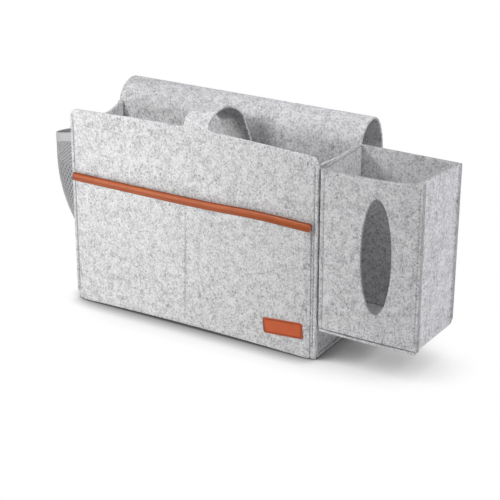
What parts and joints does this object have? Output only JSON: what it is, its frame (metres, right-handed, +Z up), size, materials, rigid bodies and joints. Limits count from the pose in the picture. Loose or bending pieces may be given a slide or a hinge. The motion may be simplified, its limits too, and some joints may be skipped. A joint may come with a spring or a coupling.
{
  "type": "bedside caddy",
  "caption": "Felt bedside caddy: open bag with a bound front pocket, a carry strap, a hanging flap, a net bottle pocket and a pull-off tissue box with an oval slot.",
  "frame": {"origin": "middle of the bag's underside, on the surface it stands on", "axes": "+X along the front from the net pocket towards the tissue box, +Y from the front towards the bed, +Z up"},
  "size_m": [0.5056, 0.1651, 0.2628],
  "materials": {
    "felt": "mottled pressed felt",
    "tan_binding": "smooth satin",
    "tan_label": "fine grain satin",
    "net": "open knitted net",
    "elastic": "ribbed elastic tape",
    "loop_pile": "brushed loop pile",
    "hook_tape": "rows of fine hooks"
  },
  "bodies": {
    "bag": {"front_panel": "felt", "carry_strap": "felt", "back_panel": "felt", "left_gusset": "felt", "right_gusset": "felt", "base_panel": "felt", "front_pocket": "felt", "pocket_binding": "tan_binding", "label_patch": "tan_label", "net_pocket": "net", "net_rim": "elastic", "rear_loop_pad_left": "loop_pile", "rear_loop_pad_right": "loop_pile", "side_loop_pad_front": "loop_pile", "side_loop_pad_back": "loop_pile"},
    "flap": {"hanger_flap": "felt"},
    "tissue_box": {"tissue_front": "felt", "tissue_back": "felt", "tissue_side": "felt", "tissue_base": "felt", "hook_pad_front": "hook_tape", "hook_pad_back": "hook_tape"}
  },
  "joints": [
    {"name": "flap_fold", "type": "hinge", "parent": "bag", "child": "flap", "pos_m": [0, 0.078, 0.2505], "axis": [1, 0, 0], "range_deg": [0, 120]},
    {"name": "tissue_box_pull", "type": "slide", "parent": "bag", "child": "tissue_box", "axis": [1, 0, 0], "range_m": [0, 0.06]}
  ]
}
